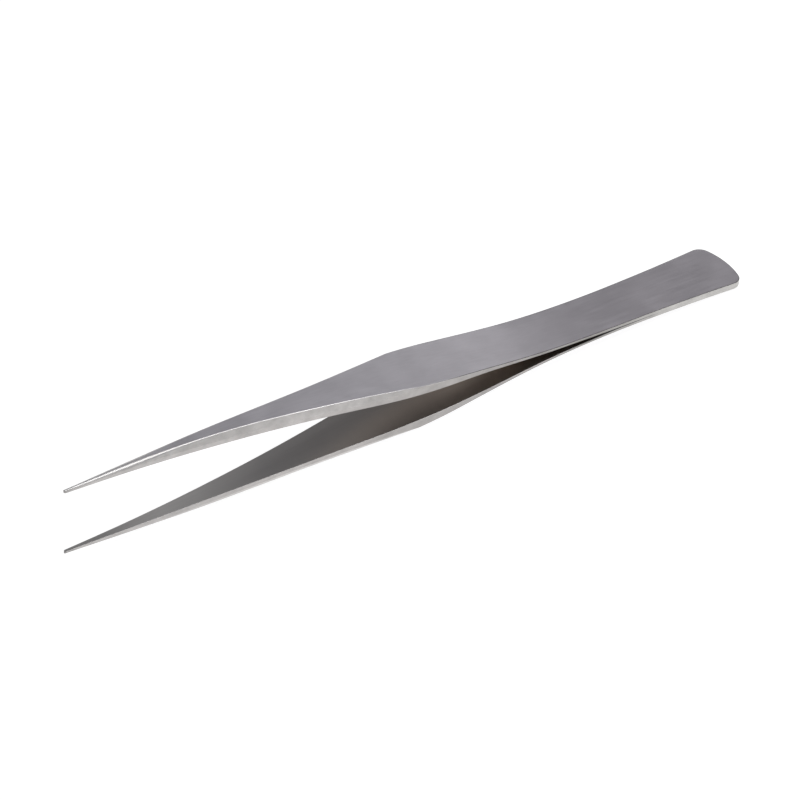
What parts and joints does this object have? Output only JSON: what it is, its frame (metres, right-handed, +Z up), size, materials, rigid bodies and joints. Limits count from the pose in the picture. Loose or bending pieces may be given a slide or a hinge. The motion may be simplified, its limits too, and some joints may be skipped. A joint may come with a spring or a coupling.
{
  "type": "pointed tweezers",
  "caption": "Fine pointed tweezers: bowed steel leaves with bevelled points, welded together at a flat heel.",
  "frame": {"origin": "middle of the underside of the box around the tweezers as they lie at rest", "axes": "+X from the points to the heel, along the surface; +Y across the leaves; +Z up"},
  "size_m": [0.1302, 0.0112, 0.0146],
  "materials": {
    "steel": "satin stainless steel, fine lengthwise grain on the faces, ground edges and bevels"
  },
  "bodies": {
    "root": {"upper_leaf": "steel", "lower_leaf": "steel"}
  },
  "joints": []
}
